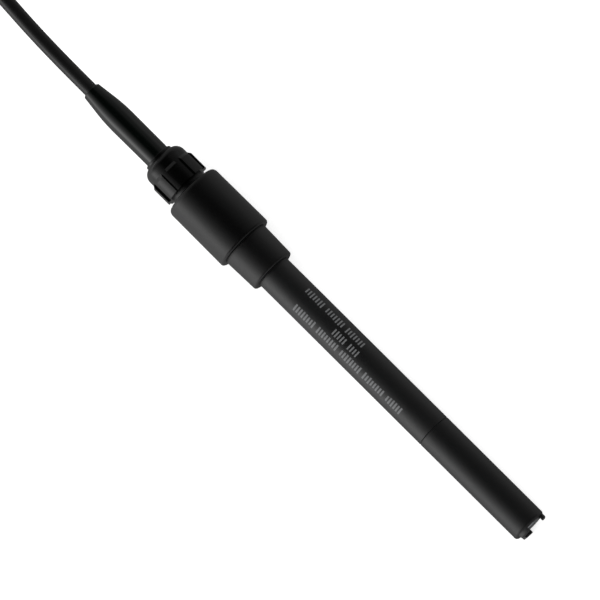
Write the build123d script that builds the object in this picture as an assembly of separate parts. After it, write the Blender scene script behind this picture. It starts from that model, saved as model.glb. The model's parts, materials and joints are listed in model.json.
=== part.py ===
"""Dissolved oxygen electrode: a 12 mm immersion shaft with a screw-on membrane sleeve, a stepped head
with a ribbed cable gland, and a fixed cable that is put away as a tied hank and ends in two plugs.

The electrode is built along its own axis, u along X with u = 0 where the shaft leaves the collar and
the measuring tip towards +X, and is then laid down: it rests on the head's lower rim and on the
sleeve's rim, so the axis leans a little. Millimetres, +Z up.
"""
from build123d import *
from math import acos, asin, atan2, cos, degrees, pi, radians, sin, sqrt, tan
import os

# Shaft and sleeve
shaft_d = 12.0
shaft_wall = 2.0
seam_u = 71.7
seam_gap = 0.06
seam_bevel = 0.16
shaft_inside_head = 15.0
shaft_seat_step = 0.5
spigot_length = 12.7
spigot_chamfer = 0.4
sleeve_end_u = 114.6
sleeve_wall = 0.95
sleeve_end_round = 1.0
lip_thickness = 1.8
nose_d = 7.7

# Lugs on the sleeve's end
lug_count = 3
lug_angle = -31.0
lug_sweep = 42.0
lug_height = 1.3
lug_inset = 0.35
lug_thickness = 1.3
lug_chamfer = 0.3

# Collar between head and shaft
collar_top_d = 16.7
collar_low_d = 16.05
collar_round = 0.75
collar_length = 12.5
collar_spigot_d = 15.2
collar_spigot_length = 9.0

# Head housing
head_d = 20.15
head_top_d = 19.9
head_length = 23.2
head_low_round = 0.85
head_shoulder_round = 1.6
shoulder_length = 1.7
shoulder_break = 1.0
shoulder_drop = 0.45
shoulder_break_round = 1.0
neck_root_d = 12.8
head_roof = 4.0

# Gland neck, nut and what the nut squeezes
neck_d = 12.6
neck_length = 9.55
neck_bore_d = 9.2
neck_floor = 1.8
neck_chamfer = 0.5
nut_clearance = 1.35
nut_d = 15.05
nut_rib_d = 16.55
nut_length = 12.3
nut_dome_length = 3.1
nut_rim_d = 10.2
nut_rim_length = 0.85
nut_rim_chamfer = 0.2
nut_bore_depth = 8.2
rib_count = 8
rib_angle = 5.0
rib_sweep = 30.0
rib_length = 6.45
rib_run_out = 1.25
rib_edge_round = 0.35
rib_root = 0.3
rib_foot = 0.1
flange_d = 10.9
flange_thickness = 1.5
flange_below_rim = 0.6
cage_slots = 6
cage_slot_width = 0.8
cage_slot_depth = 1.2
cage_depth = 0.6
cage_bore_clearance = 0.2
cage_side_clearance = 0.1
cage_head = 0.5

# Boot and cable
boot_length = 30.3
boot_mouth_chamfer = 0.3
boot_top_d = 6.3
boot_cone_d = 7.95
boot_cone_length = 7.0
boot_belly_d = 8.8
boot_belly_u = 15.0
boot_foot_d = 8.65
cable_d = 4.8
cable_end_in_head = 1.6
core_d = 1.1
core_count = 4
core_circle_d = 2.4

# Sensor inside
core_clearance = 0.05
body_nose_d = 6.7
body_nose_length = 16.0
anode_length = 10.0
anode_d = 6.5
anode_wall = 0.4
body_past_anode = 0.8
body_joint_gap = 0.3
nose_lip = 0.6
glass_d = 2.8
glass_dome = 0.5
glass_top_u = 66.0
wire_d = 0.5
wire_top_u = 62.0
membrane_gap = 0.15
membrane_thickness = 0.15
membrane_d = 6.9
clamp_thickness = 0.4
clamp_bore_d = 5.4
body_top_u = 62.0
temperature_d = 1.3
temperature_offset = 2.4
temperature_length = 11.0
temperature_end_gap = 1.0
temperature_bore_gap = 0.1
seal_cord_d = 1.0
seal_squeeze = 0.03
seal_groove_half = 0.6
sleeve_seal_place = 8.1
membrane_seal_place = 2.0
lead_wire_d = 0.9
lead_wire_circle_d = 3.4
board_size = (15.6, 10.6, 1.0)
board_slot_depth = 1.2
chip_size = (4.0, 4.0, 0.9)
chip_place = 7.0
potting_length = 6.0
potting_head = 2.0

# General fits
fit = 0.02
running = 0.05
face_gap = 0.05
past = 1.0

# Cord route in the laid-down frame, chosen by hand; its first point is the boot's mouth
front_route = [(-110.4, 0.0, 12.65), (-125.4, 0.4, 14.2), (-137.4, 1.2, 15.9), (-145.6, 1.6, 16.5)]
tail_route = [
    (-241.4, 15.6, 2.4),
    (-248.4, 15.6, 2.4),
    (-256.1, 14.1, 2.6),
    (-264.8, 9.1, 3.3),
    (-272.5, 7.0, 4.1),
    (-279.5, 7.0, 4.1),
]
bayonet_route = [
    (-295.5, 9.2, 4.1),
    (-302.0, 9.2, 4.1),
    (-308.5, 9.6, 4.5),
    (-315.0, 10.2, 6.0),
    (-321.4, 10.5, 7.3),
    (-327.4, 10.5, 7.3),
]
round_route = [
    (-295.5, 4.8, 4.1),
    (-300.4, 4.8, 4.1),
    (-305.2, 3.7, 4.2),
    (-309.6, 1.5, 4.5),
    (-313.4, -1.6, 5.0),
    (-317.8, -3.9, 5.6),
    (-322.4, -5.0, 6.0),
    (-327.4, -5.0, 6.0),
]
lead_d = 2.8
lead_in = 2.0
arc_share = 0.45

# Hank: a bundle folded into two lobes and drawn together by a tie
hank_front_x = -146.0
hank_lobe_d = 36.2
hank_run = 72.0
hank_waist = 20.4
hank_height = 19.4
hank_edge_round = 2.3
tie_thickness = 1.0
tie_width = 7.0
tie_tail = 9.0
tie_tail_width = 6.0
tie_tail_thickness = 0.8
tie_lock_size = (8.5, 5.0, 1.6)

# Splitter
splitter_length = 16.0
splitter_height = 8.2
splitter_low_height = 6.0
splitter_widths = (8.4, 12.0)
splitter_corners = (3.2, 2.6)

# Bayonet plug
plug_body_d = 9.7
plug_bore_d = 7.0
plug_sleeve_wall = 0.6
plug_front = 9.0
plug_flange_length = 4.0
plug_barrel_d = 9.0
plug_barrel_length = 3.8
plug_back_wall = 1.5
collar_d = 14.5
collar_chamfer = 0.5
collar_past_sleeve = 0.5
collar_web_gap = 0.6
bayonet_length = 14.6
bayonet_wall = 1.2
bayonet_slot = 2.4
bayonet_entry = 3.0
bayonet_seat = 5.5
bayonet_turn = 50.0
flute_count = 24
flute_r = 0.6
flute_depth = 0.35
flute_length = 6.0
flute_centre = 4.2
insulator_d = 5.0
insulator_reach = 3.6
pin_d = 1.35
pin_reach = 7.65
pin_point = 0.5
gasket_thickness = 1.0
plug_boot_length = 19.0
plug_boot_cone = 13.3
plug_boot_d = (9.0, 5.0)
bend_groove_count = 4
bend_groove_start = 3.0
bend_groove_pitch = 2.4
bend_groove_width = 1.0
bend_groove_depth = 0.65

# Round multi-pin plug
shell_d = 9.5
shell_wall = 0.5
shell_reach = 7.0
shell_seat = 2.0
keyway_width = 1.8
keyway_depth = 1.0
keyway_length = 2.0
insert_depth = 4.0
insert_socket = (2.0, 1.2)
insert_socket_depth = 2.0
insert_socket_place = 1.6
round_pin_d = 0.7
round_pin_length = 5.2
round_pin_circle_d = 5.0
round_pin_count = 6
round_pin_root = 1.0
round_pin_gap = 80.0
grip_d = 12.0
grip_length = 17.0
grip_cone_length = 3.0
grip_rim_round = 0.8
grip_cone_round = 1.5
grip_neck_length = 12.0
grip_neck_d = 5.2
grip_neck_swell = 1.0
grip_groove_count = 5
grip_groove = 0.5
grip_groove_width = 1.0
grip_groove_start = 5.0
grip_groove_pitch = 2.0

# Places along the axis that follow from the sizes above
shaft_r = shaft_d / 2
seat_r = shaft_r - shaft_seat_step
head_low_u = -collar_length
shoulder_u = head_low_u - head_length
head_top_u = shoulder_u - shoulder_length
roof_u = head_top_u + head_roof
neck_top_u = head_top_u - neck_length
nut_low_u = head_top_u - nut_clearance
nut_dome_u = nut_low_u - nut_length + nut_dome_length
nut_rim_u = nut_low_u - nut_length
nut_mouth_u = nut_rim_u - nut_rim_length
flange_top_u = nut_rim_u + flange_below_rim
boot_mouth_u = nut_mouth_u - boot_length
spigot_r = shaft_r - sleeve_wall - running
spigot_end_u = seam_u + spigot_length
sleeve_seal_u = seam_u + sleeve_seal_place
membrane_seal_u = spigot_end_u + membrane_seal_place
shaft_bore_r = shaft_r - shaft_wall
lip_u = sleeve_end_u - lip_thickness
membrane_u = sleeve_end_u - face_gap - clamp_thickness - membrane_thickness
nose_bore_r = body_nose_d / 2 + core_clearance
nose_end_u = spigot_end_u + body_nose_length
anode_end_u = nose_end_u + anode_length
body_end_u = anode_end_u + body_past_anode
glass_end_u = membrane_u - membrane_gap


def turned(*outline):
    """A solid turned about the axis from a closed outline of (u, radius) points."""
    return revolve(make_face(Polyline(*outline, close=True)), Axis.X)


def turned_edges(*edges):
    """A solid turned about the axis from the edges of a closed outline."""
    return revolve(make_face(Curve() + [edge for edge in edges]), Axis.X)


def tube(start_u, end_u, outer_r, inner_r=0.0):
    """A plain tube or rod between two places on the axis."""
    return turned((start_u, inner_r), (end_u, inner_r), (end_u, outer_r), (start_u, outer_r))


def ring_seal(place_u, outer_r):
    """An O-ring whose outside radius is given."""
    centre_r = outer_r - seal_cord_d / 2
    section = Pos(place_u, centre_r) * Circle(seal_cord_d / 2)
    return revolve(section, Axis.X)


def seal_groove(place_u, surface_r):
    """What is cut from a rod for an O-ring that stands a little proud of it."""
    floor_r = surface_r - seal_cord_d + seal_squeeze
    low_u = place_u - seal_groove_half
    high_u = place_u + seal_groove_half
    return tube(low_u, high_u, surface_r + past, floor_r)


def quarter_round(end_u, outer_r, round_r):
    """The arc that rounds the rim of a turned piece whose end face looks towards the tip."""
    inset = round_r * (1 - sin(pi / 4))
    return ThreePointArc(
        (end_u, outer_r - round_r), (end_u - inset, outer_r - inset), (end_u - round_r, outer_r)
    )


def around(solid, angle):
    """Turns a solid that was made at the +Y side to the given angle from the top, towards +Y."""
    return Rot(90 - angle, 0, 0) * solid


def wedge(outline, sweep):
    """A piece of a turned ring, as wide as the sweep angle, centred on the +Y side."""
    face = make_face(Polyline(*outline, close=True))
    return Rot(-sweep / 2, 0, 0) * revolve(face, Axis.X, sweep)


def shaft_tube():
    """The 12 mm tube, with its upper end inside the head and a spigot for the sleeve below."""
    outer = turned(
        (-shaft_inside_head, 0),
        (-shaft_inside_head, seat_r),
        (-shaft_seat_step, seat_r),
        (0, shaft_r),
        (seam_u - seam_bevel, shaft_r),
        (seam_u, shaft_r - seam_bevel),
        (seam_u, spigot_r),
        (spigot_end_u - spigot_chamfer, spigot_r),
        (spigot_end_u, spigot_r - spigot_chamfer),
        (spigot_end_u, 0),
    )
    outer -= tube(-shaft_inside_head - past, spigot_end_u + past, shaft_bore_r)
    return outer - seal_groove(sleeve_seal_u, spigot_r)


def cap_sleeve():
    """The screw-on sleeve: a thin tube with an inner lip and three lugs that guard the membrane."""
    start_u = seam_u + seam_gap
    bore_r = shaft_r - sleeve_wall
    lip_r = nose_d / 2 + running
    end_round = quarter_round(sleeve_end_u, shaft_r, sleeve_end_round)
    outline = Polyline(
        (sleeve_end_u, shaft_r - sleeve_end_round),
        (sleeve_end_u, lip_r),
        (lip_u, lip_r),
        (lip_u, bore_r),
        (start_u, bore_r),
        (start_u, shaft_r - seam_bevel),
        (start_u + seam_bevel, shaft_r),
        (sleeve_end_u - sleeve_end_round, shaft_r),
    )
    sleeve = turned_edges(end_round, outline)
    lug_r = shaft_r - lug_inset
    lug_low_r = lug_r - lug_thickness
    lug_outline = (
        (sleeve_end_u - sleeve_end_round, lug_low_r),
        (sleeve_end_u - sleeve_end_round, lug_r),
        (sleeve_end_u + lug_height - lug_chamfer, lug_r),
        (sleeve_end_u + lug_height, lug_r - lug_chamfer),
        (sleeve_end_u + lug_height, lug_low_r),
    )
    for k in range(lug_count):
        sleeve += around(wedge(lug_outline, lug_sweep), lug_angle + k * 360 / lug_count)
    return sleeve


def membrane_body():
    """The tube that holds the electrolyte and carries the membrane on its nose."""
    outer_r = shaft_r - sleeve_wall - 2 * running
    nose_r = nose_d / 2
    start_u = spigot_end_u + body_joint_gap
    return turned(
        (start_u, nose_bore_r),
        (start_u, outer_r),
        (lip_u - face_gap, outer_r),
        (lip_u - face_gap, nose_r),
        (membrane_u, nose_r),
        (membrane_u, clamp_bore_d / 2),
        (lip_u - nose_lip, clamp_bore_d / 2),
        (lip_u - nose_lip, nose_bore_r),
    )


def membrane_disc():
    """The thin gas-permeable membrane across the nose."""
    return tube(membrane_u, membrane_u + membrane_thickness, membrane_d / 2)


def membrane_clamp_ring():
    """The ring that holds the membrane's rim down."""
    start_u = membrane_u + membrane_thickness
    return tube(start_u, start_u + clamp_thickness, nose_d / 2 - running, clamp_bore_d / 2)


def inner_body():
    """The moulded core that fills the shaft's end and carries glass, anode and thermometer."""
    nose_r = body_nose_d / 2
    anode_seat_r = anode_d / 2 - anode_wall
    body = turned(
        (body_top_u, 0),
        (body_top_u, shaft_bore_r - fit),
        (spigot_end_u, shaft_bore_r - fit),
        (spigot_end_u, nose_r),
        (nose_end_u, nose_r),
        (nose_end_u, anode_seat_r),
        (body_end_u, anode_seat_r),
        (body_end_u, 0),
    )
    body -= tube(glass_top_u, body_end_u + past, glass_d / 2 + fit)
    body -= tube(wire_top_u - past, glass_top_u + past, wire_d / 2 + fit)
    body -= temperature_place(temperature_d / 2 + fit, temperature_bore_gap)
    return body - seal_groove(membrane_seal_u, nose_r)


def temperature_place(radius, extra):
    """The thermometer's bore or body, beside the glass rod."""
    end_u = nose_end_u - temperature_end_gap
    bead = tube(end_u - temperature_length - extra, end_u, radius)
    return Pos(0, -temperature_offset, 0) * bead


def glass_tip():
    """The glass rod with the cathode wire in it, its end rounded against the membrane."""
    glass_r = glass_d / 2
    dome_u = glass_end_u - glass_dome
    round_r = (glass_r**2 + glass_dome**2) / (2 * glass_dome)
    half_way = asin(glass_r / round_r) / 2
    middle = (glass_end_u - round_r * (1 - cos(half_way)), round_r * sin(half_way))
    dome = ThreePointArc((dome_u, glass_r), middle, (glass_end_u, 0))
    outline = Polyline((glass_end_u, 0), (glass_top_u, 0), (glass_top_u, glass_r), (dome_u, glass_r))
    return turned_edges(dome, outline) - tube(glass_top_u - past, glass_end_u + past, wire_d / 2 + fit)


def lead_wires():
    """Four insulated wires from the inner body up to the circuit board."""
    top_u = board_low_u()
    wire = Pos(0, lead_wire_circle_d / 2, 0) * tube(top_u, body_top_u, lead_wire_d / 2)
    return [around(wire, 45 + 90 * k) for k in range(4)]


def board_low_u():
    """The lower edge of the circuit board, seated in the potting plug's slot."""
    return -shaft_inside_head - potting_head + board_slot_depth


def circuit_board():
    """The sensor's own circuit board, on edge in the head."""
    length, width, thickness = board_size
    return Pos(board_low_u() - length / 2, 0, 0) * Box(length, width, thickness)


def board_chip():
    """The memory chip on the board."""
    length, width, height = chip_size
    above = board_size[2] / 2 + height / 2
    return Pos(board_low_u() - chip_place, 0, above) * Box(length, width, height)


def potting_plug():
    """Cast resin that closes the shaft's upper end and holds the board's edge."""
    top_u = -shaft_inside_head - potting_head
    length, width, thickness = board_size
    plug = turned(
        (top_u, 0),
        (top_u, seat_r),
        (-shaft_inside_head, seat_r),
        (-shaft_inside_head, shaft_bore_r),
        (potting_length - shaft_inside_head, shaft_bore_r),
        (potting_length - shaft_inside_head, 0),
    )
    slot = Box(2 * board_slot_depth, width + 2 * fit, thickness + 2 * fit)
    plug -= Pos(top_u, 0, 0) * slot
    return plug - lead_wires()


def collar():
    """The tapered collar, with a spigot up into the head and a bore for the shaft."""
    top_r = collar_top_d / 2
    low_r = collar_low_d / 2
    spigot_top_u = head_low_u - collar_spigot_length
    outline = Polyline(
        (-collar_round, low_r),
        (head_low_u, top_r),
        (head_low_u, collar_spigot_d / 2 - fit),
        (spigot_top_u, collar_spigot_d / 2 - fit),
        (spigot_top_u, seat_r + fit),
        (-shaft_seat_step, seat_r + fit),
        (0, shaft_r + fit),
        (0, low_r - collar_round),
    )
    return turned_edges(outline, quarter_round(0, low_r, collar_round))


def head_housing():
    """The head: a slightly tapered shell with a coned shoulder and the gland's neck."""
    low_r = head_d / 2
    top_r = head_top_d / 2
    break_point = (shoulder_u - shoulder_break, top_r - shoulder_drop)
    outline = make_face(
        Polyline(
            (head_low_u, collar_spigot_d / 2),
            (head_low_u, low_r),
            (shoulder_u, top_r),
            break_point,
            (head_top_u, neck_root_d / 2),
            (head_top_u, neck_d / 2),
            (neck_top_u + neck_chamfer, neck_d / 2),
            (neck_top_u, neck_d / 2 - neck_chamfer),
            (neck_top_u, neck_bore_d / 2),
            (head_top_u - neck_floor, neck_bore_d / 2),
            (head_top_u - neck_floor, cable_d / 2 + fit),
            (roof_u, cable_d / 2 + fit),
            (roof_u, collar_spigot_d / 2),
            close=True,
        )
    )
    outline = rounded(outline, (head_low_u, low_r), head_low_round)
    outline = rounded(outline, (shoulder_u, top_r), head_shoulder_round)
    outline = rounded(outline, break_point, shoulder_break_round)
    return revolve(outline, Axis.X)


def rounded(face, corner, radius):
    """Rounds the corner of a flat outline that lies nearest the given point."""
    nearest = face.vertices().sort_by_distance(Vector(*corner))[0]
    return fillet(nearest, radius)


def gland_nut():
    """The cable gland's nut: a domed cap with a raised rim and eight grip ribs."""
    dome_end_r = nut_rim_d / 2
    nut_r = nut_d / 2
    dome = TangentArc((nut_dome_u, nut_r), (nut_rim_u, dome_end_r), tangent=(-1, 0))
    inner_r = neck_d / 2 + running
    outline = Polyline(
        (nut_rim_u, dome_end_r),
        (nut_mouth_u + nut_rim_chamfer, dome_end_r),
        (nut_mouth_u, dome_end_r - nut_rim_chamfer),
        (nut_mouth_u, boot_foot_d / 2 + running),
        (flange_top_u, boot_foot_d / 2 + running),
        (flange_top_u, flange_d / 2 + running),
        (flange_top_u + flange_thickness, flange_d / 2 + running),
        (nut_low_u - nut_bore_depth, inner_r),
        (nut_low_u, inner_r),
        (nut_low_u, nut_r),
        (nut_dome_u, nut_r),
    )
    nut = turned_edges(dome, outline)
    rib_r = nut_rib_d / 2
    rib_top_u = nut_low_u - rib_length
    rib_outline = (
        (nut_low_u, nut_r - rib_root),
        (nut_low_u, rib_r),
        (rib_top_u, rib_r),
        (rib_top_u - rib_run_out, nut_r - rib_foot),
        (rib_top_u - rib_run_out, nut_r - rib_root),
    )
    rib = wedge(rib_outline, rib_sweep)
    long_edges = rib.edges().filter_by(Axis.X).sort_by(SortBy.DISTANCE)[-2:]
    rib = fillet(long_edges, rib_edge_round)
    for k in range(rib_count):
        nut += around(rib, rib_angle + k * 360 / rib_count)
    return nut


def gland_seal():
    """The rubber sleeve that the cage squeezes onto the cable."""
    return tube(neck_top_u + cage_depth, head_top_u - neck_floor, neck_bore_d / 2 - fit, cable_d / 2 + fit)


def gland_cage():
    """The slotted clamping ring between the seal and the boot's flange."""
    low_u = neck_top_u + cage_depth
    top_u = flange_top_u + flange_thickness
    bore_r = cable_d / 2 + cage_bore_clearance
    side_r = neck_bore_d / 2 - cage_side_clearance
    cage = turned(
        (low_u, bore_r),
        (low_u, side_r),
        (neck_top_u - cage_side_clearance, side_r),
        (neck_top_u - cage_side_clearance, neck_bore_d / 2 + cage_head),
        (top_u, neck_bore_d / 2 + cage_side_clearance),
        (top_u, bore_r),
    )
    for k in range(cage_slots):
        slot = Pos(low_u, neck_bore_d / 2, 0) * Box(2 * cage_slot_depth, neck_bore_d / 2, cage_slot_width)
        cage -= around(slot, k * 360 / cage_slots)
    return cage


def cable_boot():
    """The moulded boot: a flange held by the nut, a slim belly and a cone up to the cable."""
    belly_u = boot_mouth_u + boot_belly_u
    cone_u = boot_mouth_u + boot_cone_length
    cone_slope = (boot_cone_d - boot_top_d) / 2 / boot_cone_length
    swell = TangentArc((cone_u, boot_cone_d / 2), (belly_u, boot_belly_d / 2), tangent=(1, cone_slope))
    outline = Polyline(
        (belly_u, boot_belly_d / 2),
        (nut_mouth_u, boot_foot_d / 2),
        (flange_top_u + face_gap, boot_foot_d / 2),
        (flange_top_u + face_gap, flange_d / 2),
        (flange_top_u + flange_thickness, flange_d / 2),
        (flange_top_u + flange_thickness, cable_d / 2 + fit),
        (boot_mouth_u, cable_d / 2 + fit),
        (boot_mouth_u, boot_top_d / 2 - boot_mouth_chamfer),
        (boot_mouth_u + boot_mouth_chamfer, boot_top_d / 2),
        (cone_u, boot_cone_d / 2),
    )
    return turned_edges(swell, outline)


def cable_inner_end_u():
    """Where the cable's jacket ends inside the head."""
    return roof_u + cable_end_in_head


def cable_in_gland():
    """The stretch of cable from the head's inside to the boot's mouth."""
    return tube(boot_mouth_u, cable_inner_end_u(), cable_d / 2)


def cable_cores():
    """The cable's cores, from the end of its jacket to the board."""
    end_u = board_low_u() - board_size[0]
    return [
        around(Pos(0, core_circle_d / 2, 0) * tube(cable_inner_end_u(), end_u, core_d / 2), 45 + 90 * k)
        for k in range(core_count)
    ]


def path_of(points, name):
    """Straight runs joined by arcs as large as the two runs allow; prints the arcs' radii."""
    spots = [Vector(*p) for p in points]
    radii = []
    for before, here, after in zip(spots, spots[1:], spots[2:]):
        shorter = min((here - before).length, (after - here).length)
        turn = (here - before).get_angle(after - here)
        radii.append(arc_share * shorter / tan(radians(turn / 2)))
    print(name, "radii", [round(r, 1) for r in radii])
    return FilletPolyline(*spots, radius=radii)


def round_tube(points, diameter, name):
    """A cord's tube along hand-chosen points; prints how its volume compares with its length."""
    path = path_of(points, name)
    section = Plane(origin=path @ 0, z_dir=path % 0) * Circle(diameter / 2)
    solid = sweep(section, path=path)
    ratio = solid.volume / (pi * diameter**2 / 4 * path.length)
    print(name, "length", round(path.length, 1), "volume ratio", round(ratio, 4))
    return solid


def hank_centre_x():
    """The middle of the hank."""
    return hank_front_x - hank_lobe_d / 2 - hank_run / 2


def hank_solid():
    """The outer shape of the folded bundle: two lobes drawn together at the tie."""
    lobe_r = hank_lobe_d / 2
    lobe_x = hank_run / 2
    waist_y = hank_waist / 2
    reach = sqrt(lobe_x**2 + waist_y**2)
    angle = atan2(waist_y, -lobe_x) - acos(lobe_r / reach)
    touch = (lobe_x + lobe_r * cos(angle), lobe_r * sin(angle))
    corners = [(0, waist_y), touch, (touch[0], -touch[1]), (0, -waist_y)]
    corners += [(-touch[0], -touch[1]), (-touch[0], touch[1])]
    outline = make_face(Polyline(*corners, close=True))
    outline += [Pos(side * lobe_x, 0) * Circle(lobe_r) for side in (-1, 1)]
    bundle = extrude(outline, hank_height)
    rims = bundle.edges().group_by(Axis.Z)
    bundle = Pos(hank_centre_x(), 0, 0) * fillet(rims[0] + rims[-1], hank_edge_round)
    groove = Box(tie_width + 2 * fit, 2 * hank_lobe_d, 2 * hank_height)
    groove -= Pos(0, 0, hank_height) * Box(tie_width + past, hank_waist, 2 * (hank_height - tie_thickness))
    return bundle - Pos(hank_centre_x(), 0, 0) * groove


def cord_tie():
    """The strap round the hank's waist, with its short free tail on top."""
    standing = (Align.CENTER, Align.CENTER, Align.MIN)
    inner_width = hank_waist + 2 * fit
    top = hank_height + fit
    outer = Box(tie_width, inner_width + 2 * tie_thickness, top + tie_thickness, align=standing)
    inner = Pos(0, 0, tie_thickness - fit) * Box(
        tie_width + 2 * past, inner_width, top - tie_thickness + fit, align=standing
    )
    strap = fillet(outer.edges().filter_by(Axis.X), tie_thickness) - inner
    lock = Pos(0, 0, top + tie_thickness) * Box(*tie_lock_size, align=standing)
    tail = Pos(0, tie_tail / 2, top + tie_thickness) * Box(
        tie_tail_width, tie_tail, tie_tail_thickness, align=standing
    )
    return Pos(hank_centre_x(), 0, 0) * (strap + lock + tail)


def y_splitter():
    """The moulded block where the cable becomes two leads; flat below, rounded, wider to the leads."""
    front = tail_route[-1]
    back = (front[0] - splitter_length, front[1], front[2])
    narrow, wide = splitter_widths
    faces_back = Plane(origin=front, z_dir=(-1, 0, 0), x_dir=(0, 1, 0))
    near_corner, far_corner = splitter_corners
    near = faces_back * RectangleRounded(narrow, splitter_height, near_corner)
    far = Plane(origin=back, z_dir=(-1, 0, 0), x_dir=(0, 1, 0)) * RectangleRounded(
        wide, splitter_low_height, far_corner
    )
    return loft([near, far])


def plug_place(route):
    """Where a plug's axis starts, pointing along -X: the lead runs a little way into it."""
    end = route[-1]
    return Pos(end[0] + lead_in, end[1], end[2])


def plug_boot():
    """The bayonet plug's boot, tapered towards the lead, with shallow bend grooves."""
    big, small = plug_boot_d
    boot = turned(
        (0, lead_d / 2 + fit),
        (0, small / 2),
        (-plug_boot_cone, big / 2),
        (-plug_boot_length, big / 2),
        (-plug_boot_length, lead_d / 2 + fit),
    )
    slope = (big - small) / 2 / plug_boot_cone
    for k in range(bend_groove_count):
        place = bend_groove_start + bend_groove_pitch * k
        floor_r = small / 2 + slope * place - bend_groove_depth
        boot -= tube(-place - bend_groove_width / 2, -place + bend_groove_width / 2, big, floor_r)
    return boot


def bayonet_body():
    """The plug's metal body: barrel behind, flange, and the split-free contact sleeve in front."""
    back_u = -plug_boot_length
    flange_u = back_u - plug_barrel_length
    front_u = bayonet_front_u()
    sleeve_r = plug_bore_d / 2 + plug_sleeve_wall
    return turned(
        (back_u, 0),
        (back_u, plug_barrel_d / 2),
        (flange_u, plug_barrel_d / 2),
        (flange_u, plug_body_d / 2),
        (front_u, plug_body_d / 2),
        (front_u, sleeve_r),
        (front_u - plug_front, sleeve_r),
        (front_u - plug_front, plug_bore_d / 2),
        (front_u, plug_bore_d / 2),
        (front_u, insulator_d / 2),
        (back_u - plug_back_wall, insulator_d / 2),
        (back_u - plug_back_wall, 0),
    )


def bayonet_front_u():
    """The face of the bayonet plug's body, from which the contact sleeve stands out."""
    return -plug_boot_length - plug_barrel_length - plug_flange_length


def bayonet_collar():
    """The coupling collar with its grip flutes and the two bayonet slots."""
    front_u = bayonet_front_u() - plug_front - collar_past_sleeve
    back_u = front_u + bayonet_length
    web_u = bayonet_front_u() + collar_web_gap
    outer_r = collar_d / 2
    bore_r = outer_r - bayonet_wall
    ring = turned(
        (back_u, plug_body_d / 2 + running),
        (back_u, outer_r - collar_chamfer),
        (back_u - collar_chamfer, outer_r),
        (front_u + collar_chamfer, outer_r),
        (front_u, outer_r - collar_chamfer),
        (front_u, bore_r),
        (web_u, bore_r),
        (web_u, plug_body_d / 2 + running),
    )
    flute_place = Pos(back_u - flute_centre, outer_r + flute_r - flute_depth, 0) * Rot(0, 90, 0)
    flute = flute_place * Cylinder(flute_r, flute_length)
    ring -= [around(flute, k * 360 / flute_count) for k in range(flute_count)]
    entry = Pos(front_u, outer_r, 0) * Box(2 * bayonet_entry, 4 * bayonet_wall, bayonet_slot)
    seat_place = Pos(front_u + bayonet_seat, outer_r, 0) * Rot(90, 0, 0)
    seat = seat_place * Cylinder(bayonet_slot / 2, 4 * bayonet_wall)
    for side in (0, 180):
        ring -= around(entry, side)
        ring -= around(seat, side + bayonet_turn)
    return ring


def bayonet_insulator():
    """The white insulator that carries the centre pin."""
    front_u = bayonet_front_u() - insulator_reach
    back_u = -plug_boot_length - plug_back_wall
    return tube(front_u, back_u, insulator_d / 2 - fit, pin_d / 2 + fit)


def bayonet_pin():
    """The centre pin with its rounded point."""
    front_u = bayonet_front_u() - pin_reach
    back_u = -plug_boot_length - plug_back_wall
    return turned(
        (back_u, 0),
        (back_u, pin_d / 2),
        (front_u + pin_point, pin_d / 2),
        (front_u, pin_d / 4),
        (front_u, 0),
    )


def bayonet_gasket():
    """The sealing ring at the bottom of the contact sleeve's annulus."""
    front_u = bayonet_front_u()
    bore_r = plug_bore_d / 2 + plug_sleeve_wall + fit
    return tube(front_u - gasket_thickness, front_u, plug_body_d / 2, bore_r)


def round_shell():
    """The round plug's metal shell with its keyway."""
    back_u = -grip_neck_length - grip_length
    front_u = back_u - shell_reach
    shell = tube(front_u, back_u + shell_seat, shell_d / 2, shell_d / 2 - shell_wall)
    return shell - Pos(front_u, 0, shell_d / 2) * Box(2 * keyway_length, keyway_width, 2 * keyway_depth)


def round_insert():
    """The plastic insert that carries the pins."""
    back_u = -grip_neck_length - grip_length
    front_u = back_u - shell_reach + insert_depth
    insert = tube(front_u, back_u + shell_seat, shell_d / 2 - shell_wall - fit)
    insert -= Pos(front_u, 0, insert_socket_place) * Box(2 * insert_socket_depth, *insert_socket)
    return insert - round_pins(fit)


def round_pins(extra=0.0):
    """The contact pins, in a ring with a gap at the keyway."""
    back_u = -grip_neck_length - grip_length + round_pin_root
    pin = tube(back_u - round_pin_length - extra, back_u, round_pin_d / 2 + extra)
    pin = Pos(0, round_pin_circle_d / 2, 0) * pin
    step = (360 - round_pin_gap) / (round_pin_count - 1)
    return [around(pin, round_pin_gap / 2 + k * step) for k in range(round_pin_count)]


def round_grip():
    """The moulded grip: grooved body, sloped neck, and a socket for the shell."""
    end_u = -grip_neck_length - grip_length
    cone_u = -grip_neck_length - grip_cone_length
    socket_u = end_u + shell_seat + fit
    grip = make_face(
        Polyline(
            (0, lead_d / 2 + fit),
            (0, grip_neck_d / 2),
            (-grip_neck_length, grip_neck_d / 2 + grip_neck_swell),
            (cone_u, grip_d / 2),
            (end_u, grip_d / 2),
            (end_u, shell_d / 2 + fit),
            (socket_u, shell_d / 2 + fit),
            (socket_u, 0),
            (-lead_in, 0),
            (-lead_in, lead_d / 2 + fit),
            close=True,
        )
    )
    grip = rounded(grip, (end_u, grip_d / 2), grip_rim_round)
    grip = rounded(grip, (cone_u, grip_d / 2), grip_cone_round)
    grip = revolve(grip, Axis.X)
    half = grip_groove_width / 2
    for k in range(grip_groove_count):
        place_u = -grip_neck_length - grip_groove_start - grip_groove_pitch * k
        grip -= tube(place_u - half, place_u + half, grip_d, grip_d / 2 - grip_groove)
    return grip


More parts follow.
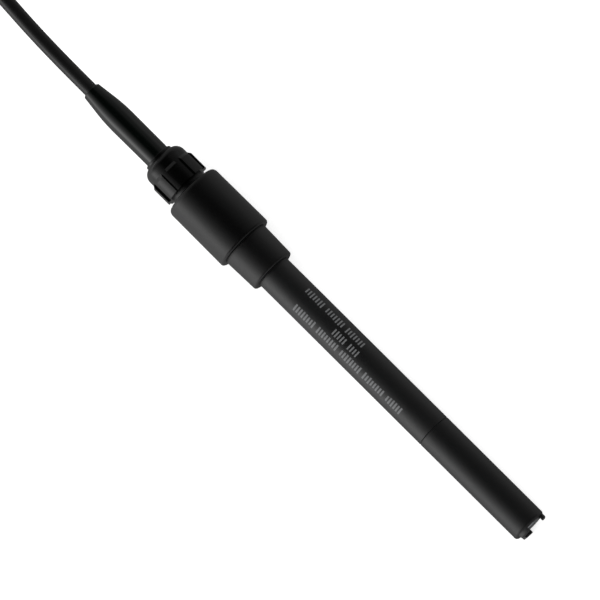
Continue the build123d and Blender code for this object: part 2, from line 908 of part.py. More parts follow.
def electrode_pieces():
    """Every rigid piece of the electrode, along its own axis."""
    return {
        "shaft_tube": shaft_tube(),
        "cap_sleeve": cap_sleeve(),
        "membrane_body": membrane_body(),
        "membrane_disc": membrane_disc(),
        "membrane_clamp_ring": membrane_clamp_ring(),
        "inner_body": inner_body(),
        "anode_sleeve": tube(nose_end_u, anode_end_u, anode_d / 2, anode_d / 2 - anode_wall + fit),
        "glass_tip": glass_tip(),
        "cathode_wire": tube(wire_top_u, glass_end_u - 0.02, wire_d / 2),
        "temperature_sensor": temperature_place(temperature_d / 2, 0.0),
        "sleeve_seal_ring": ring_seal(sleeve_seal_u, spigot_r + seal_squeeze),
        "membrane_seal_ring": ring_seal(membrane_seal_u, body_nose_d / 2 + seal_squeeze),
        "lead_wires": Compound(children=lead_wires()),
        "circuit_board": circuit_board(),
        "board_chip": board_chip(),
        "potting_plug": potting_plug(),
        "collar": collar(),
        "head_housing": head_housing(),
        "gland_nut": gland_nut(),
        "gland_seal": gland_seal(),
        "gland_cage": gland_cage(),
        "cable_boot": cable_boot(),
        "cable_in_gland": cable_in_gland(),
        "cable_cores": Compound(children=cable_cores()),
    }


def laid_down(pieces):
    """Leans the electrode until it rests on the head's and the sleeve's rims, and centres it."""
    rise = head_d / 2 - shaft_r
    between = (sleeve_end_u - sleeve_end_round) - (head_low_u - head_low_round)
    lean = Rot(0, degrees(atan2(rise, between)), 0)
    box = Compound(children=[lean * piece for piece in pieces.values()]).bounding_box()
    middle = (box.min + box.max) / 2
    place = Pos(-middle.X, -middle.Y, -box.min.Z) * lean
    print("lean", round(degrees(atan2(rise, between)), 3), "box", box.size)
    return place


def plug_pieces():
    """The pieces of both plugs, each at the end of its lead."""
    bayonet = plug_place(bayonet_route)
    multi = plug_place(round_route)
    return {
        "bayonet_boot": bayonet * plug_boot(),
        "bayonet_body": bayonet * bayonet_body(),
        "bayonet_collar": bayonet * bayonet_collar(),
        "bayonet_insulator": bayonet * bayonet_insulator(),
        "bayonet_pin": bayonet * bayonet_pin(),
        "bayonet_gasket": bayonet * bayonet_gasket(),
        "round_plug_grip": multi * round_grip(),
        "round_plug_shell": multi * round_shell(),
        "round_plug_insert": multi * round_insert(),
        "round_plug_pins": multi * Compound(children=round_pins()),
    }


pieces = electrode_pieces()
place = laid_down(pieces)
model = {name: place * piece for name, piece in pieces.items()}
mouth = (place * Pos(boot_mouth_u, 0, 0)).position
print("boot mouth", mouth)
model["cable"] = round_tube([tuple(mouth)] + front_route, cable_d, "cable")
model["cable_hank"] = hank_solid()
model["cable_tail"] = round_tube(tail_route, cable_d, "cable_tail")
model["cord_tie"] = cord_tie()
model["y_splitter"] = y_splitter()
model["bayonet_lead"] = round_tube(bayonet_route, lead_d, "bayonet_lead")
model["round_lead"] = round_tube(round_route, lead_d, "round_lead")
model.update(plug_pieces())

os.makedirs("parts", exist_ok=True)
for name, piece in model.items():
    export_step(piece, f"parts/{name}.step")
print(len(model), "pieces")
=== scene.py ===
# %% [markdown]
# # A dissolved oxygen electrode
#
# The object is a slim black laboratory probe: a 12 mm shaft with a screw-on membrane sleeve, a stepped
# head with a ribbed cable gland, a tapered boot and a long fixed cable that ends in two plugs.
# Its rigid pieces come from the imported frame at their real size. This script gives each of them a
# finish, and makes what the frame only holds as plain solids: the cable with its folded hank, the two
# leads and the print on the shaft.

# %% Load the frame
import json
import math

import bpy
from mathutils import Matrix, Vector


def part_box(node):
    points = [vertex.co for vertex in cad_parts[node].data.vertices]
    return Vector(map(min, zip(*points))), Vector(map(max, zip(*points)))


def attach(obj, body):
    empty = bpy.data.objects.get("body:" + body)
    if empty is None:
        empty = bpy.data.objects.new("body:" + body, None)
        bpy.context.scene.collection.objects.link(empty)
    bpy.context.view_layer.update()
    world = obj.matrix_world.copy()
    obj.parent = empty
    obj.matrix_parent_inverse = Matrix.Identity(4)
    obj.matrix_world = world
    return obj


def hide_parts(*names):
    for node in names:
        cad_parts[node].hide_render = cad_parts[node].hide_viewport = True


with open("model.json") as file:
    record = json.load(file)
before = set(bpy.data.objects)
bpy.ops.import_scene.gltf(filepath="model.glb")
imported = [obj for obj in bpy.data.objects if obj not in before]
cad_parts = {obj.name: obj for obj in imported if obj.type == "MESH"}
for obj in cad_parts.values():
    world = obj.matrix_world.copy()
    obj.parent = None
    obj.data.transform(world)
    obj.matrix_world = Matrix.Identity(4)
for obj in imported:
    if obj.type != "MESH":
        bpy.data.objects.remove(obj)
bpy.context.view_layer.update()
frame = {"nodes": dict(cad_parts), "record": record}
nodes = frame["nodes"]
MM = 0.001

# %% [markdown]
# ## The electrode's own axis
#
# The electrode lies on its head and on its tip, so its axis leans a little against the floor. Most
# finishes and details follow that axis, and not the world's. A round piece that is the same at both
# ends has the centre of its box on the axis, so two such pieces give the line. Places are then
# named in millimetres from the collar's end face, which is where the shaft comes into view.

# %% Find the axis


def centre_of(node):
    """The middle of a frame piece's box."""
    low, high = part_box(node)
    return (Vector(low) + Vector(high)) / 2


MEMBRANE_FROM_COLLAR = 114.075
tip = centre_of("membrane_disc")
cable_middle = centre_of("cable_in_gland")
ALONG = (tip - cable_middle).normalized()
SIDE = Vector((0, 1, 0))
RISE = ALONG.cross(SIDE)
COLLAR_FACE = tip - ALONG * MEMBRANE_FROM_COLLAR * MM
TURNED = Matrix((ALONG, SIDE, RISE)).transposed()


def on_axis(along, side=0.0, rise=0.0):
    """A place in the frame from millimetres along the electrode, to its side and above its axis."""
    return COLLAR_FACE + (ALONG * along + SIDE * side + RISE * rise) * MM


print("axis leans", round(math.degrees(math.asin(-ALONG.z)), 3), "degrees")

# %% [markdown]
# ## The camera
#
# The photograph looks down on the electrode through a long lens, from a little towards the tip, so
# the end faces of head and collar show as thin dark crescents. The axis runs from upper left to lower
# right. A camera's own axes are right, up and back, so its rotation is written as those three
# directions, which is easier to check than three angles.

# %% Place the camera
PICTURE = 600
LENS_MM = 476.7
LEAN_TO_TIP = math.radians(8.5)
DISTANCE = 2.5
AIM_ALONG = 12.41
AIM_SIDE = -0.46
AXIS_IN_PICTURE = math.radians(44.81)

to_camera = RISE * math.cos(LEAN_TO_TIP) + ALONG * math.sin(LEAN_TO_TIP)
tipwards = ALONG * math.cos(LEAN_TO_TIP) - RISE * math.sin(LEAN_TO_TIP)
right = tipwards * math.cos(AXIS_IN_PICTURE) + SIDE * math.sin(AXIS_IN_PICTURE)
up = SIDE * math.cos(AXIS_IN_PICTURE) - tipwards * math.sin(AXIS_IN_PICTURE)

lens = bpy.data.cameras.new("camera")
lens.lens = LENS_MM
lens.clip_start = 0.05
camera = bpy.data.objects.new("camera", lens)
camera.matrix_world = Matrix.Translation(on_axis(AIM_ALONG, AIM_SIDE) + to_camera * DISTANCE) @ Matrix(
    (right, up, to_camera)
).transposed().to_4x4()
bpy.context.collection.objects.link(camera)
bpy.context.scene.camera = camera
print("scale", round(PICTURE * LENS_MM / lens.sensor_width / DISTANCE * MM, 3), "pixels a millimetre")

# %% [markdown]
# ## Shader maths that reads as arithmetic
#
# A procedural finish is mostly sums: a noise times a small number, plus a middle value. Blender wants
# a Math node for every sign, which hides the idea. A small class can wrap one socket and overload the
# operators, so that `0.3 + 0.1 * noise` adds the Math nodes by itself. Everything else that a tree
# needs goes through one method, which takes the node's type, its settings and what its sockets get.

# %% Wires and finishes
LOOKING = 0
OBJECT_PLACE = 3
COLOUR_MIX = {"share": 0, "first": 6, "second": 7, "out": 2}


class Wire:
    """One number or vector in a node tree, on which ordinary operators work."""

    def __init__(self, owner, socket):
        self.owner = owner
        self.socket = socket

    def maths(self, operation, *others, turned=False):
        values = [self, *others]
        if turned:
            values.reverse()
        return self.owner.node("ShaderNodeMath", {"operation": operation}, dict(enumerate(values)))

    def __add__(self, other):
        return self.maths("ADD", other)

    def __radd__(self, other):
        return self.maths("ADD", other, turned=True)

    def __sub__(self, other):
        return self.maths("SUBTRACT", other)

    def __rsub__(self, other):
        return self.maths("SUBTRACT", other, turned=True)

    def __mul__(self, other):
        return self.maths("MULTIPLY", other)

    def __rmul__(self, other):
        return self.maths("MULTIPLY", other, turned=True)

    def __truediv__(self, other):
        return self.maths("DIVIDE", other)

    def __abs__(self):
        return self.maths("ABSOLUTE")

    def most(self, other):
        return self.maths("MAXIMUM", other)

    def between(self, low, high):
        """0 below low, 1 above high and a soft step between them."""
        settings = {"interpolation_type": "SMOOTHSTEP"}
        sockets = {"Value": self, "From Min": low, "From Max": high}
        return self.owner.node("ShaderNodeMapRange", settings, sockets)


class Tree:
    """A node tree that is being filled in."""

    def __init__(self, tree):
        self.tree = tree
        self.tree.nodes.clear()

    def node(self, kind, settings=None, sockets=None, out=0):
        """Adds a node, sets its settings first and its sockets next, and returns one of its outputs."""
        made = self.tree.nodes.new(kind)
        for name, value in (settings or {}).items():
            if name == "stops":
                self.set_stops(made.color_ramp, value)
            else:
                setattr(made, name, value)
        for name, value in (sockets or {}).items():
            self.feed(made.inputs[name], value)
        return Wire(self, made.outputs[out]) if made.outputs else None

    def set_stops(self, ramp, stops):
        """Gives a colour ramp its stops, as pairs of place and colour."""
        while len(ramp.elements) < len(stops):
            ramp.elements.new(0.5)
        for element, (place, colour) in zip(ramp.elements, stops):
            element.position = place
            element.color = (*colour, 1.0)

    def feed(self, socket, value):
        """Links a wire to a socket, or sets the socket's own value."""
        if isinstance(value, Wire):
            self.tree.links.new(value.socket, socket)
        elif hasattr(value, "__len__") and len(value) == 3 and len(socket.default_value) == 4:
            socket.default_value = (*value, 1.0)
        else:
            socket.default_value = value

    def joined(self, x, y, z):
        """A vector from three numbers or wires."""
        return self.node("ShaderNodeCombineXYZ", {}, {"X": x, "Y": y, "Z": z})

    def parts(self, vector):
        """The three numbers of a vector."""
        made = self.tree.nodes.new("ShaderNodeSeparateXYZ")
        self.feed(made.inputs[0], vector)
        return [Wire(self, output) for output in made.outputs]


class Finish(Tree):
    """The node tree of a material, or of the world."""

    def __init__(self, owner):
        owner.use_nodes = True
        super().__init__(owner.node_tree)

    def noise(self, place, scale, detail=3.0, roughness=0.5):
        """A noise from 0 to 1 over a place in millimetres; scale is in cells a millimetre."""
        sockets = {"Vector": place, "Scale": scale, "Detail": detail, "Roughness": roughness}
        return self.node("ShaderNodeTexNoise", {}, sockets)

    def mixed(self, share, first, second):
        """A colour between two colours."""
        mix = COLOUR_MIX
        sockets = {mix["share"]: share, mix["first"]: first, mix["second"]: second}
        return self.node("ShaderNodeMix", {"data_type": "RGBA"}, sockets, out=mix["out"])

    def raised(self, height, depth, strength=1.0, under=None):
        """A normal that shows a height from 0 to 1 as relief of that depth in millimetres."""
        sockets = {"Height": height, "Distance": depth * MM, "Strength": strength}
        if under is not None:
            sockets["Normal"] = under
        return self.node("ShaderNodeBump", {}, sockets)

    def in_row(self):
        """The place in the frame, in millimetres."""
        sockets = {"Vector": self.node("ShaderNodeTexCoord", out=OBJECT_PLACE), "Scale": (MM, MM, MM)}
        return self.node("ShaderNodeMapping", {"vector_type": "TEXTURE"}, sockets)

    def on_electrode(self):
        """The place along the electrode, to its side and above its axis, in millimetres."""
        sockets = {
            "Vector": self.node("ShaderNodeTexCoord", out=OBJECT_PLACE),
            "Location": tuple(COLLAR_FACE),
            "Rotation": tuple(TURNED.to_euler()),
            "Scale": (MM, MM, MM),
        }
        return self.node("ShaderNodeMapping", {"vector_type": "TEXTURE"}, sockets)

    def surface(self, linked, fixed):
        """The shader and the output: what varies is linked, and what is the same all over is set."""
        made = self.tree.nodes.new("ShaderNodeBsdfPrincipled")
        for name, value in {**fixed, **linked}.items():
            self.feed(made.inputs[name], value)
        self.node("ShaderNodeOutputMaterial", {}, {"Surface": Wire(self, made.outputs[0])})


# %% [markdown]
# ## The studio
#
# The photograph is a cut-out on pure white, lit by one broad soft light from the lower left and a weak
# one from the right, with a dark space overhead and beyond the tip. On black plastic nearly all that
# shows is the reflection of that studio, so its brightness is written down as a row of stops from
# right to left, once for the walls and once for the floor. The walls behind the tip and behind the
# cable are a plain grey, which the photograph's view hardly sees and other views need. The eye sees
# white instead of all this, and what isn't shiny gets an even light, at which a colour renders about
# as it is written.

# %% Floor, world and lamps
FLOOR_SIZE = 12.0
FLOOR_COLOUR = (0.8, 0.8, 0.8)
FLOOR_GLOW = 0.6
FLOOR_REACH = 0.15
WORLD_LEVEL = 0.5
BRIGHTEST = 3.2
END_WALLS = 0.34
WALLS = [
    (-1.0, 0.4), (-0.985, 0.42), (-0.956, 0.3), (-0.9, 0.22), (-0.8, 0.17), (-0.7, 0.16), (-0.6, 0.11),
    (-0.5, 0.04), (-0.3, 0.004), (0.2, 0.004), (0.35, 0.09), (0.44, 0.2), (0.57, 0.36), (0.656, 0.52),
    (0.73, 0.72), (0.8, 1.05), (0.857, 1.5), (0.906, 2.2), (0.9455, 2.75), (0.974, 3.0), (0.993, 2.5),
    (1.0, 1.8),
]
# The floor as shiny surfaces see it is painted light: a glow, brightest far to the left and dimmest just
# under and beside the electrode, where it is a painted shadow.
GROUND = [
    (-1.0, 0.35), (-0.2, 0.27), (-0.1, 0.22), (0.0, 0.1), (0.1, 0.35), (0.2, 0.75), (0.33, 1.0),
    (0.72, 1.25), (1.0, 1.5),
]
DARK_BEYOND_TIP = (-0.07, 0.08)
END_WALLS_FROM = (0.7, 0.95)

bpy.context.scene.view_settings.view_transform = "Standard"


def seen_rays(finish):
    """1 for what the eye sees, also through glass, and 1 for what it sees in a shiny surface."""
    path = finish.tree.nodes.new("ShaderNodeLightPath")
    names = ("Is Camera Ray", "Is Transmission Ray", "Is Glossy Ray")
    camera_ray, through_ray, glossy_ray = [Wire(finish, path.outputs[name]) for name in names]
    return camera_ray.most(through_ray), glossy_ray


def brightness(finish, leftness, stops):
    """The level of a row of stops at a place from -1 on the right to 1 on the left."""
    steps = [((place + 1) / 2, (level / BRIGHTEST,) * 3) for place, level in stops]
    return finish.node("ShaderNodeValToRGB", {"stops": steps}, {0: 0.5 + 0.5 * leftness}) * BRIGHTEST


def make_floor():
    """A wide white floor that shows a faint shadow."""
    mesh = bpy.data.meshes.new("floor")
    half = FLOOR_SIZE / 2
    corners = [(-half, -half, 0), (half, -half, 0), (half, half, 0), (-half, half, 0)]
    mesh.from_pydata(corners, [], [(0, 1, 2, 3)])
    floor = bpy.data.objects.new("floor", mesh)
    bpy.context.collection.objects.link(floor)
    material = bpy.data.materials.new("floor_white")
    finish = Finish(material)
    by_eye, by_shine = seen_rays(finish)
    _, side, _ = finish.parts(finish.node("ShaderNodeTexCoord", out=OBJECT_PLACE))
    # painted light: the floor's glow as shiny surfaces see it, with a painted shadow under and beside the
    # electrode
    ground = brightness(finish, side / -FLOOR_REACH, GROUND)
    lit = finish.node("ShaderNodeBsdfDiffuse", {}, {"Color": FLOOR_COLOUR})
    glow = finish.node("ShaderNodeEmission", {}, {"Strength": by_eye * FLOOR_GLOW})
    seen = finish.node("ShaderNodeAddShader", {}, {0: lit, 1: glow})
    shine = finish.node("ShaderNodeEmission", {}, {"Strength": ground})
    both = finish.node("ShaderNodeMixShader", {}, {0: by_shine, 1: seen, 2: shine})
    finish.node("ShaderNodeOutputMaterial", {}, {"Surface": both})
    mesh.materials.append(material)


def make_world():
    """The walls in what shines, white for the eye and an even level for the rest."""
    world = bpy.data.worlds.new("studio")
    bpy.context.scene.world = world
    finish = Finish(world)
    to_tip, to_right, _ = finish.parts(finish.node("ShaderNodeTexCoord", out=LOOKING))
    by_eye, by_shine = seen_rays(finish)
    walls = brightness(finish, -1.0 * to_right, WALLS) * (1.0 - 0.95 * to_tip.between(*DARK_BEYOND_TIP))
    walls = walls + END_WALLS * abs(to_tip).between(*END_WALLS_FROM)
    level = by_eye + by_shine * walls + (1.0 - by_eye.most(by_shine)) * WORLD_LEVEL
    sky = finish.node("ShaderNodeBackground", {}, {"Color": (1.0, 1.0, 1.0), "Strength": level})
    finish.node("ShaderNodeOutputWorld", {}, {"Surface": sky})


def make_lamp(name, place, aim, size, radiance):
    """A rectangular soft lamp that looks at a place; the walls stand for its reflection."""
    data = bpy.data.lights.new(name, "AREA")
    data.shape = "RECTANGLE"
    data.size, data.size_y = size
    data.energy = radiance * math.pi * size[0] * size[1]
    lamp = bpy.data.objects.new(name, data)
    lamp.location = place
    lamp.rotation_euler = (Vector(aim) - Vector(place)).to_track_quat("-Z", "Y").to_euler()
    lamp.visible_glossy = False
    bpy.context.collection.objects.link(lamp)


make_floor()
make_world()
make_lamp("bank_left", (-0.2, -1.0, 0.6), (-0.2, 0.0, 0.0), (1.8, 0.7), 1.8)
make_lamp("bank_right", (-0.2, 1.1, 0.75), (-0.2, 0.0, 0.0), (1.8, 0.5), 0.5)
make_lamp("top_fill", (-0.2, 0.0, 1.6), (-0.2, 0.0, 0.0), (1.6, 1.6), 1.0)

# %% [markdown]
# ## Black mouldings
#
# Nearly everything that shows is black plastic or rubber, so the finishes differ in gloss and in fine
# relief, and hardly in colour. The shaft is ground and has faint rings round it, the head is moulded
# and polished, the boot is a glossy rubber with a trace of green, and the cable has a satin jacket.
# Each is the same function with its own numbers; the noises that drive it are in millimetres.

# %% Black finishes


def black(name, colour, gloss, cloud, grain, grain_depth, rings=0.0, level=0.5, coat=0.0, electrode=True):
    """A black plastic or rubber: colour, roughness, how uneven it is, fine grain and turned rings."""
    material = bpy.data.materials.new(name)
    finish = Finish(material)
    place = finish.on_electrode() if electrode else finish.in_row()
    patches = finish.noise(place, 0.12, 4.0, 0.6)
    specks = finish.noise(place, grain, 2.0)
    deeper = tuple(c * 0.6 for c in colour)
    rough = gloss + cloud * (patches - 0.5) + 0.5 * cloud * (specks - 0.5)
    normal = finish.raised(specks, grain_depth)
    if rings:
        along, _, _ = finish.parts(place)
        turning = finish.noise(finish.joined(along * 9.0, 0.0, 0.0), 1.0, 4.0, 0.7)
        rough = rough + 0.06 * (turning - 0.5)
        normal = finish.raised(turning, rings, under=normal)
    finish.surface(
        {"Base Color": finish.mixed(patches, deeper, colour), "Roughness": rough, "Normal": normal},
        {"Specular IOR Level": level, "Coat Weight": coat, "Coat Roughness": 0.1},
    )
    return material


RING_DEPTH = 0.002
shaft_black = black(
    "shaft_black", (0.004, 0.0042, 0.0044), 0.52, 0.06, 9.0, 0.0015, rings=RING_DEPTH, level=0.95
)
sleeve_black = black(
    "sleeve_black", (0.0028, 0.003, 0.0032), 0.52, 0.06, 9.0, 0.0015, rings=RING_DEPTH, level=0.92
)
head_black = black("head_black", (0.0004, 0.0004, 0.0005), 0.42, 0.05, 6.0, 0.002, level=0.6)
collar_black = black("collar_black", (0.001, 0.001, 0.0011), 0.5, 0.05, 6.0, 0.002, level=0.85)
nut_black = black("nut_black", (0.0008, 0.0009, 0.0008), 0.23, 0.05, 5.0, 0.002, level=0.38)
boot_black = black("boot_black", (0.0012, 0.0022, 0.0017), 0.13, 0.04, 3.0, 0.003)
jacket_black = black(
    "jacket_black", (0.006, 0.006, 0.006), 0.33, 0.08, 5.0, 0.004, level=0.45, electrode=False
)
plug_black = black("plug_black", (0.008, 0.008, 0.0085), 0.38, 0.08, 5.0, 0.006, electrode=False)
tie_black = black("tie_black", (0.009, 0.009, 0.009), 0.36, 0.06, 6.0, 0.004, electrode=False)
seal_black = black("seal_black", (0.012, 0.012, 0.012), 0.5, 0.08, 8.0, 0.004)

# %% [markdown]
# ## Metals, glass and what is inside
#
# The plugs are nickel-plated brass with a gold pin, and their insulator is white. Behind the sleeve sit
# a silver anode, a glass rod with a platinum wire and pale plastic mouldings. These pieces show when
# the membrane is pulled off, or from the cable's end, so they get finishes of their own too.

# %% Other finishes


def other(name, colour, gloss, cloud=0.06, grain=4.0, grain_depth=0.002, tint=None, **fixed):
    """A finish with a slightly uneven colour and roughness; fixed holds what is the same all over."""
    material = bpy.data.materials.new(name)
    finish = Finish(material)
    place = finish.in_row()
    patches = finish.noise(place, 0.25, 4.0, 0.6)
    specks = finish.noise(place, grain, 2.0)
    second = tint or tuple(c * 0.82 for c in colour)
    rough = gloss + cloud * (patches - 0.5) + 0.5 * cloud * (specks - 0.5)
    linked = {
        "Base Color": finish.mixed(patches, second, colour),
        "Roughness": rough,
        "Normal": finish.raised(specks, grain_depth),
    }
    finish.surface(linked, {key.replace("_", " "): value for key, value in fixed.items()})
    return material


def board_finish():
    """The circuit board: green mask, paler tracks and small gold pads."""
    material = bpy.data.materials.new("board_green")
    finish = Finish(material)
    place = finish.on_electrode()
    along, side, _ = finish.parts(place)
    lanes = finish.noise(finish.joined(along * 0.35, side * 1.6, 0.0), 1.0, 1.0)
    tracks = abs(lanes - 0.5).between(0.05, 0.03)
    pads = finish.noise(finish.joined(along, side, 0.0), 1.7, 0.0).between(0.66, 0.68)
    colour = finish.mixed(tracks, (0.004, 0.07, 0.028), (0.012, 0.16, 0.06))
    finish.surface(
        {
            "Base Color": finish.mixed(pads, colour, (0.75, 0.5, 0.16)),
            "Roughness": 0.35 - 0.12 * pads,
            "Metallic": pads,
            "Normal": finish.raised(tracks, 0.03),
        },
        {},
    )
    return material


finishes = {
    "core_plastic": other("core_grey", (0.03, 0.031, 0.033), 0.42),
    "membrane_plastic": other("membrane_grey", (0.16, 0.165, 0.17), 0.4),
    "membrane_film": other("membrane_film", (0.62, 0.64, 0.66), 0.32, Coat_Weight=0.3),
    "silver": other(
        "silver", (0.78, 0.77, 0.74), 0.3, 0.12, 2.0, 0.003, tint=(0.55, 0.52, 0.47), Metallic=1.0
    ),
    "platinum": other("platinum", (0.62, 0.6, 0.57), 0.22, Metallic=1.0),
    "glass_rod": other("glass_rod", (0.78, 0.86, 0.84), 0.06, 0.02, Transmission_Weight=0.8, IOR=1.5),
    "steel_capsule": other("steel_capsule", (0.55, 0.55, 0.56), 0.26, Metallic=1.0),
    "board": board_finish(),
    "chip": other("chip_black", (0.02, 0.02, 0.022), 0.5),
    "resin": other("resin_dark", (0.03, 0.024, 0.018), 0.18),
    "wire_insulation": other("wire_blue", (0.05, 0.12, 0.36), 0.38),
    "plug_nickel": other(
        "nickel", (0.66, 0.63, 0.58), 0.24, 0.08, 3.0, 0.002, tint=(0.58, 0.55, 0.5), Metallic=1.0
    ),
    "plug_gold": other("gold", (0.83, 0.58, 0.24), 0.2, Metallic=1.0),
    "plug_white": other("insulator_white", (0.82, 0.82, 0.79), 0.35),
    "plug_black": plug_black,
    "gasket": other("gasket_grey", (0.2, 0.2, 0.2), 0.55),
    "shaft_plastic": shaft_black,
    "head_plastic": head_black,
    "nut_plastic": nut_black,
    "boot_plastic": boot_black,
    "cable_jacket": jacket_black,
    "seal_rubber": seal_black,
    "tie_strap": tie_black,
}
print(len(finishes), "finishes")

# %% [markdown]
# ## Dressing the frame's pieces
#
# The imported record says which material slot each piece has, so one loop gives every piece the finish
# of its slot. A few pieces of one slot differ a little on the real object: the sleeve has seen more
# light than the shaft, and the collar is less polished than the head.

# %% Give each piece its finish
apart = {"cap_sleeve": sleeve_black, "collar": collar_black}
slot_of = {part["node"]: part["material_slot"] for part in frame["record"]["subparts"]}
for name, piece in nodes.items():
    piece.data.materials.clear()
    piece.data.materials.append(apart.get(name, finishes[slot_of[name]]))

# %% [markdown]
# ## The cable and its two leads
#
# The cable leaves the boot in a slow bow, and its long unseen part lies folded in a hank under a strap.
# The hank is a stack of long loops, two side by side on each of three levels and one on top. Each loop
# keeps its own slot, and moves on to the next slot while it goes round the rear end. A slot is a row of
# numbers: its level, its radius round the ends, how far it is from the middle at the strap, and its
# level there. All of it is one smooth spline through listed turns.

# %% Make the cable
CABLE_D = 4.8
LEAD_D = 2.8
HANK_MIDDLE = -201.2
TO_LOBE = 36.0
STRAP_HALF = 5.0
SLOTS = [
    (16.16, 13.3, 5.1, 16.9),
    (12.0, 10.9, 2.7, 13.0),
    (12.0, 15.7, 7.5, 13.0),
    (7.2, 15.7, 7.5, 8.2),
    (7.2, 10.9, 2.7, 8.2),
    (2.4, 10.9, 2.7, 3.4),
    (2.4, 15.7, 7.5, 3.4),
]
FRONT_ROUTE = [
    (-99.0378, 0, 12.2792), (-110.4, 0, 12.65), (-125.4, 0.4, 14.2), (-137.4, 1.2, 15.9),
    (-145.6, 1.6, 16.5), (-154.4, 3, 16.9), (-165.4, 5.2, 16.9), (-177.4, 6.2, 16.9),
]
TAIL_ROUTE = [
    (-219.4, 11.4, 2.4), (-231.4, 14.9, 2.4), (-241.4, 15.6, 2.4), (-248.4, 15.6, 2.4), (-256.1, 14.1, 2.6),
    (-264.8, 9.1, 3.3), (-272.5, 7.0, 4.1), (-279.5, 7.0, 4.1),
]
BAYONET_ROUTE = [
    (-295.5, 9.2, 4.1), (-302.0, 9.2, 4.1), (-308.5, 9.6, 4.5), (-315.0, 10.2, 6), (-321.4, 10.5, 7.3),
    (-327.4, 10.5, 7.3),
]
ROUND_ROUTE = [
    (-295.5, 4.8, 4.1), (-300.4, 4.8, 4.1), (-305.2, 3.7, 4.2), (-309.6, 1.5, 4.5), (-313.4, -1.6, 5),
    (-317.8, -3.9, 5.6), (-322.4, -5, 6), (-327.4, -5, 6),
]
FIRST_MOVE = 0.05
LATER_MOVE = 0.125
MOVE_SPAN = 0.325
TURN_POINTS = 11
TURN_ARC = 210.0
SPLINE_SHRINK = 0.9833


def smooth_step(share):
    """0 to 1 with no corner at either end."""
    share = min(max(share, 0.0), 1.0)
    return share * share * (3 - 2 * share)


def lobe(end, slot, next_slot, start=1.0):
    """The turn round one end of the hank; end is 1 at the electrode's side and -1 at the far side."""
    points = []
    for step in range(TURN_POINTS):
        share = step / (TURN_POINTS - 1)
        moved = smooth_step((share - start) / MOVE_SPAN)
        level, radius = [a + (b - a) * moved for a, b in zip(slot[:2], next_slot[:2])]
        angle = math.radians(TURN_ARC * (0.5 - share))
        reach = radius / SPLINE_SHRINK
        x = HANK_MIDDLE + end * (TO_LOBE + reach * math.cos(angle))
        points.append((x, -end * reach * math.sin(angle), level))
    return points


def under_strap(slot, side):
    """The two points of a strand where the strap holds it; side is 1 on the strands that run rearwards."""
    return [(HANK_MIDDLE + side * shift, side * slot[2], slot[3]) for shift in (STRAP_HALF, -STRAP_HALF)]


def hank():
    """Six whole turns, from the top slot to the bottom one."""
    points = []
    last = len(SLOTS) - 2
    for turn, (slot, next_slot) in enumerate(zip(SLOTS, SLOTS[1:])):
        points += under_strap(slot, 1)
        points += lobe(-1, slot, next_slot, start=FIRST_MOVE + LATER_MOVE * (last - turn))
        points += under_strap(next_slot, -1) + lobe(1, next_slot, next_slot)
    return points + under_strap(SLOTS[-1], 1)


def make_cord(name, points, diameter, material):
    """One smooth spline with a round section through control points in millimetres."""
    data = bpy.data.curves.new(name, "CURVE")
    data.dimensions = "3D"
    data.bevel_depth = diameter / 2 * MM
    data.bevel_resolution = 7
    data.resolution_u = 8
    spline = data.splines.new("NURBS")
    spline.points.add(len(points) - 1)
    for point, place in zip(spline.points, points):
        point.co = (*[v * MM for v in place], 1.0)
    spline.order_u = 3
    spline.use_endpoint_u = True
    spline.use_smooth = True
    data.materials.append(material)
    cord = bpy.data.objects.new(name, data)
    bpy.context.collection.objects.link(cord)
    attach(cord, "root")
    return cord


cable_points = FRONT_ROUTE + hank() + TAIL_ROUTE
cable = make_cord("cable_line", cable_points, CABLE_D, jacket_black)
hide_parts("cable", "cable_hank", "cable_tail")

BAYONET_PLUG = ("boot", "body", "collar", "insulator", "pin", "gasket")
ROUND_PLUG = ("grip", "shell", "insert", "pins")
leads = {
    "bayonet_lead": (BAYONET_ROUTE, ["bayonet_" + piece for piece in BAYONET_PLUG]),
    "round_lead": (ROUND_ROUTE, ["round_plug_" + piece for piece in ROUND_PLUG]),
}
for name, (route, plug) in leads.items():
    lead = make_cord(name + "_line", route, LEAD_D, jacket_black)
    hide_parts(name)
    tuple(v * MM for v in route[0])
print("cable of", len(cable_points), "points and", len(leads), "leads")

# %% [markdown]
# ## The print on the shaft
#
# Three rows of pale marking run along the shaft, each on its own side. The rows become plain bars that
# differ in height and leave a gap now and then. They are raised by a film's thickness and wrap round
# the shaft. A Geometry Nodes group makes a row: a line of points, a thin box on each, and a bend that
# turns the distance across into an angle. Its named inputs make the three rows from one group.

# %% Print rows
SHAFT_RADIUS = 6.0
PRINT_PROUD = 0.03
PRINT_SUNK = 0.05
SHORTEST_BAR = 0.75
BAR_CORNERS = 9


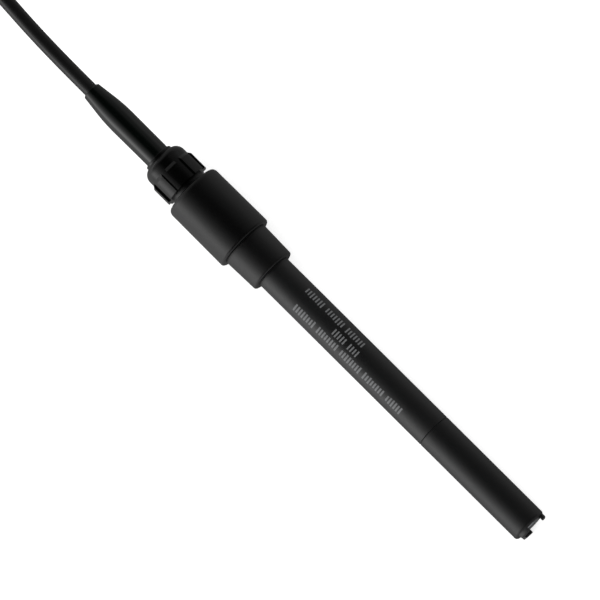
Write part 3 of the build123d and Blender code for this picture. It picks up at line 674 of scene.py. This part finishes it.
class Maker(Tree):
    """A Geometry Nodes group with named inputs, which makes one plain mesh at a time."""

    def __init__(self, name, inputs):
        super().__init__(bpy.data.node_groups.new(name, "GeometryNodeTree"))
        kinds = {int: "NodeSocketInt", float: "NodeSocketFloat", type(None): "NodeSocketMaterial"}
        for label, value in inputs.items():
            kind = kinds[type(value)]
            socket = self.tree.interface.new_socket(name=label, in_out="INPUT", socket_type=kind)
            if value is not None:
                socket.default_value = value
        self.tree.interface.new_socket(name="Geometry", in_out="OUTPUT", socket_type="NodeSocketGeometry")
        given = self.tree.nodes.new("NodeGroupInput")
        self.given = {label: Wire(self, given.outputs[label]) for label in inputs}

    def close(self, geometry):
        """Turns what was made to the electrode's axis, gives it its material and makes it the output."""
        to_axis = {"Translation": tuple(COLLAR_FACE), "Rotation": tuple(TURNED.to_euler())}
        turned = self.node("GeometryNodeTransform", {}, {"Geometry": geometry, **to_axis})
        sockets = {"Geometry": turned, "Material": self.given["Material"]}
        dressed = self.node("GeometryNodeSetMaterial", {}, sockets)
        self.node("NodeGroupOutput", {}, {"Geometry": dressed})

    def make(self, name, **values):
        """Runs the group once with these values and keeps the result as a plain mesh."""
        piece = bpy.data.objects.new(name, bpy.data.meshes.new(name))
        bpy.context.collection.objects.link(piece)
        modifier = piece.modifiers.new(name, "NODES")
        modifier.node_group = self.tree
        for item in self.tree.interface.items_tree:
            if item.in_out == "INPUT" and item.name in values:
                modifier[item.identifier] = values[item.name]
        graph = bpy.context.evaluated_depsgraph_get()
        mesh = bpy.data.meshes.new_from_object(piece.evaluated_get(graph))
        piece.modifiers.clear()
        piece.data = mesh
        return piece


def row_maker():
    """The group for one row of bars round the shaft."""
    sizes = {"Start": 0.0, "Count": 10, "Pitch": 1.1, "Width": 0.5, "Height": 2.3, "Angle": 0.0}
    maker = Maker("print_row", {**sizes, "Skip": 7, "Seed": 1, "Material": None})
    given = maker.given
    start = maker.joined(given["Start"] * MM, 0.0, 0.0)
    step = maker.joined(given["Pitch"] * MM, 0.0, 0.0)
    sockets = {"Count": given["Count"], "Start Location": start, "Offset": step}
    line = maker.node("GeometryNodeMeshLine", {"mode": "OFFSET"}, sockets)
    index = maker.node("GeometryNodeInputIndex")
    gap = index.maths("MODULO", given["Skip"]).maths("LESS_THAN", 0.5)
    sockets = {"Geometry": line, "Selection": gap}
    kept = maker.node("GeometryNodeDeleteGeometry", {"domain": "POINT"}, sockets)
    thick = (PRINT_PROUD + PRINT_SUNK) * MM
    sides = maker.joined(given["Width"] * MM, given["Height"] * MM, thick)
    bar = maker.node("GeometryNodeMeshCube", {}, {"Size": sides, "Vertices Y": BAR_CORNERS})
    chance = {2: SHORTEST_BAR, 3: 1.0, "Seed": given["Seed"]}
    shrink = maker.node("FunctionNodeRandomValue", {"data_type": "FLOAT"}, chance, 1)
    sockets = {"Points": kept, "Instance": bar, "Scale": maker.joined(1.0, shrink, 1.0)}
    row = maker.node("GeometryNodeInstanceOnPoints", {}, sockets)
    flat = maker.node("GeometryNodeRealizeInstances", {}, {"Geometry": row})
    along, across, above = maker.parts(maker.node("GeometryNodeInputPosition"))
    angle = given["Angle"] + across / (SHAFT_RADIUS * MM)
    radius = above + (SHAFT_RADIUS + (PRINT_PROUD - PRINT_SUNK) / 2) * MM
    place = maker.joined(along, radius * angle.maths("SINE"), radius * angle.maths("COSINE"))
    maker.close(maker.node("GeometryNodeSetPosition", {}, {"Geometry": flat, "Position": place}))
    return maker


front = dict(Start=12.6, Count=43, Pitch=1.138, Width=0.62, Height=2.65, Angle=-32.0, Skip=9, Seed=3)
middle = dict(Start=27.0, Count=11, Pitch=1.12, Width=0.52, Height=2.4, Angle=0.0, Skip=6, Seed=5)
back = dict(Start=11.6, Count=25, Pitch=1.12, Width=0.52, Height=2.5, Angle=34.0, Skip=8, Seed=8)
rows = {"print_front": front, "print_middle": middle, "print_back": back}
ink = other("ink", (0.155, 0.158, 0.162), 0.42)
maker = row_maker()
for name, values in rows.items():
    values["Angle"] = math.radians(values["Angle"])
    printed = maker.make(name, Material=ink, **values)
    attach(printed, "root")
    print(name, len(printed.data.polygons), "faces")
